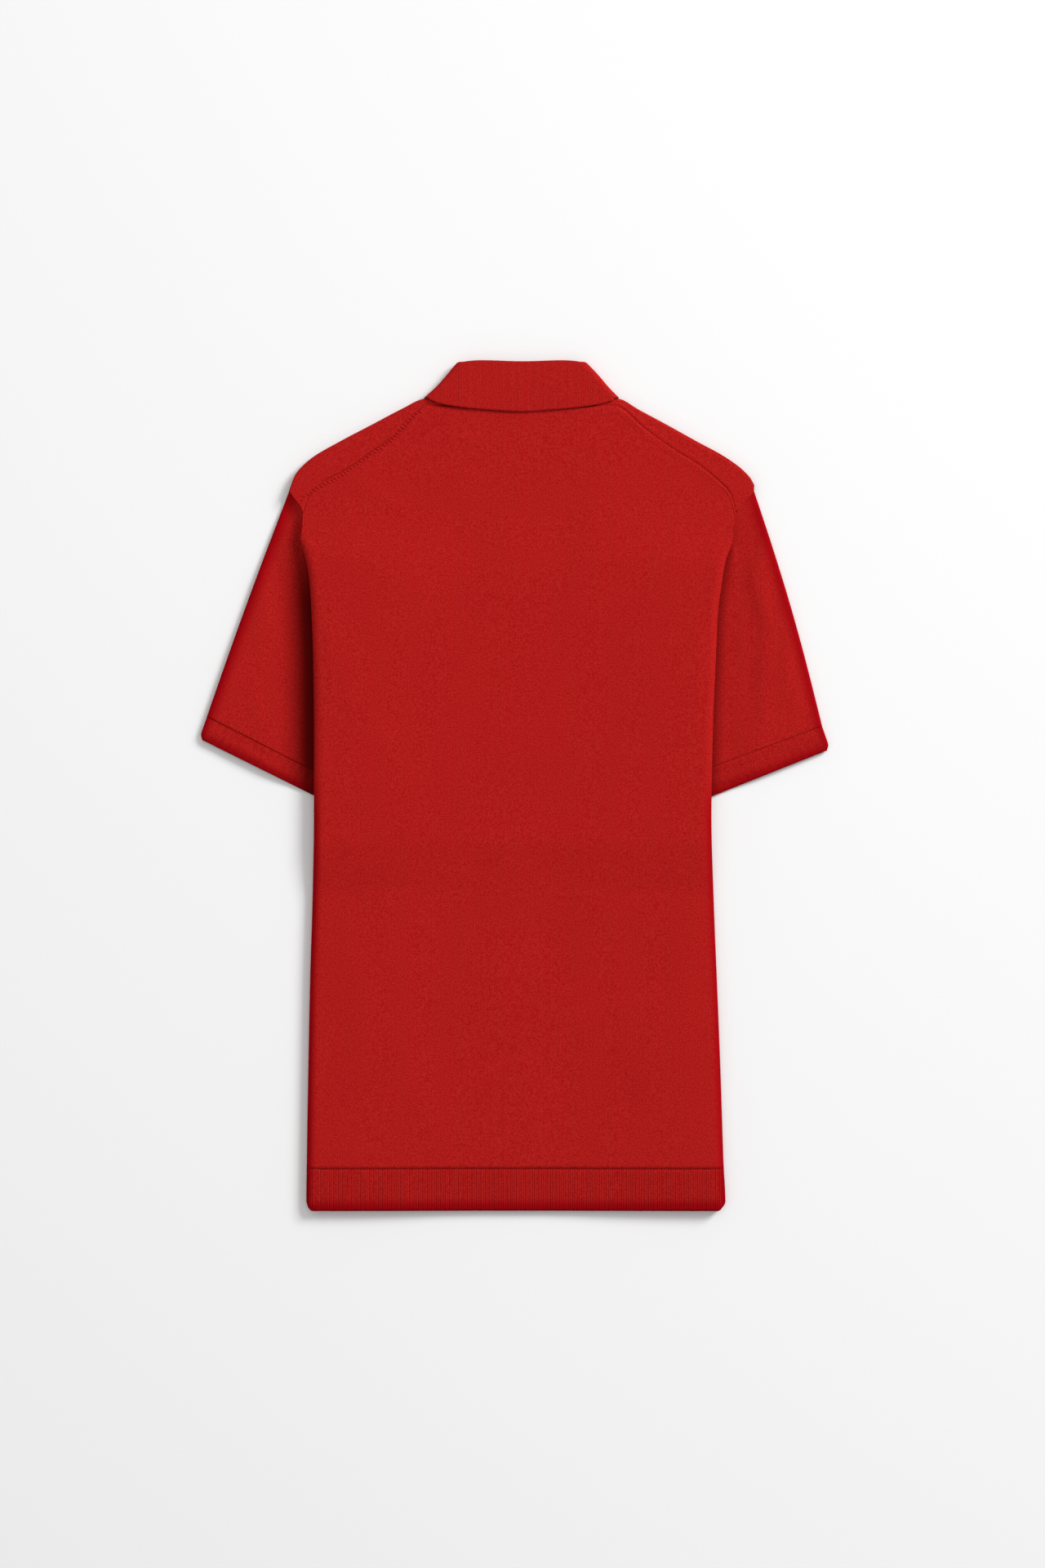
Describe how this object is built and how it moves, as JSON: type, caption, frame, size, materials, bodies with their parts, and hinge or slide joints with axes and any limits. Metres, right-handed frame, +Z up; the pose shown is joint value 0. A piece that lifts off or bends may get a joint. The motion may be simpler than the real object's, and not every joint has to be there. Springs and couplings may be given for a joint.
{
  "type": "short-sleeved knit polo shirt",
  "caption": "Short-sleeved knit polo shirt laid face down, sides folded under, with a turned-down collar and rib bands at the cuffs and hem.",
  "frame": {"origin": "middle of the shirt's outline, on the surface that it lies on", "axes": "+X to the right as seen from above, towards the wearer's right sleeve, +Y from hem to collar, +Z up from the surface"},
  "size_m": [0.5362, 0.7282, 0.0143],
  "materials": {
    "knit": "matt fine plain knit",
    "rib": "matt fine rib knit",
    "button": "satin, dyed to match"
  },
  "bodies": {
    "root": {"back_panel": "knit", "front_panel": "knit", "sleeve_left": "knit", "sleeve_right": "knit", "cuff_left": "rib", "cuff_right": "rib", "hem_band_back": "rib", "hem_band_front": "rib", "collar": "rib", "placket_over": "knit", "placket_under": "knit", "button_1": "button", "button_2": "button", "button_3": "button"}
  },
  "joints": []
}
